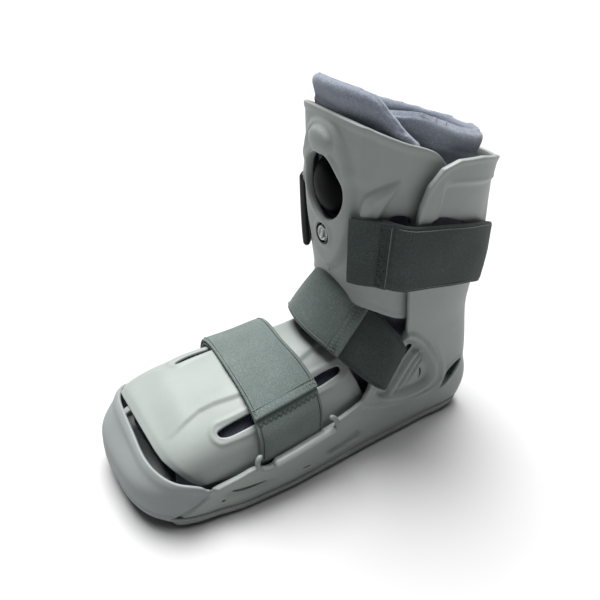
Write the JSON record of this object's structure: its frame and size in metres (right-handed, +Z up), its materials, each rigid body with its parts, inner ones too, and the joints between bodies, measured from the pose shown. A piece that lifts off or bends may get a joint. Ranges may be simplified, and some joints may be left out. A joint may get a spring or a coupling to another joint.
{
  "type": "walking boot",
  "caption": "Short pneumatic walking boot: rocker sole, rigid back shell, forefoot and shin panels with inflation bulb, padded liner, hook-and-loop straps.",
  "frame": {"origin": "on the ground, under the middle of the boot's bounding box", "axes": "+Z up, toes toward -Y, wearer's left side at +X"},
  "size_m": [0.1273, 0.3051, 0.2834],
  "materials": {
    "shell": "satin moulded, light grey",
    "bumper": "matt grey",
    "outsole": "matt grey",
    "black_rubber": "smooth black",
    "black_plastic": "gloss black",
    "dial": "pale grey",
    "liner": "brushed loop fabric over foam, blue-grey",
    "strap_dark": "napped hook-and-loop strap, dark grey",
    "strap_light": "napped hook-and-loop strap, grey",
    "loop": "moulded, light grey"
  },
  "bodies": {
    "boot": {"rear_shell": "shell", "toe_bumper": "bumper", "outsole": "outsole", "forefoot_panel": "shell", "shin_panel": "shell", "inflation_bulb": "black_rubber", "selector_seat": "black_plastic", "liner": "liner", "liner_flap": "liner", "forefoot_strap": "strap_dark", "forefoot_strap_end": "strap_light", "forefoot_loop_left": "loop", "forefoot_loop_right": "loop", "calf_strap": "strap_dark", "calf_strap_end": "strap_dark", "calf_loop_right": "loop", "ankle_strap": "strap_dark", "ankle_strap_end": "strap_dark"},
    "dial": {"selector_dial": "dial"}
  },
  "joints": [
    {"name": "dial_turn", "type": "hinge", "parent": "boot", "child": "dial", "pos_m": [0, 0.018, 0.178], "axis": [0, -1, 0], "range_deg": [-120, 120]}
  ]
}
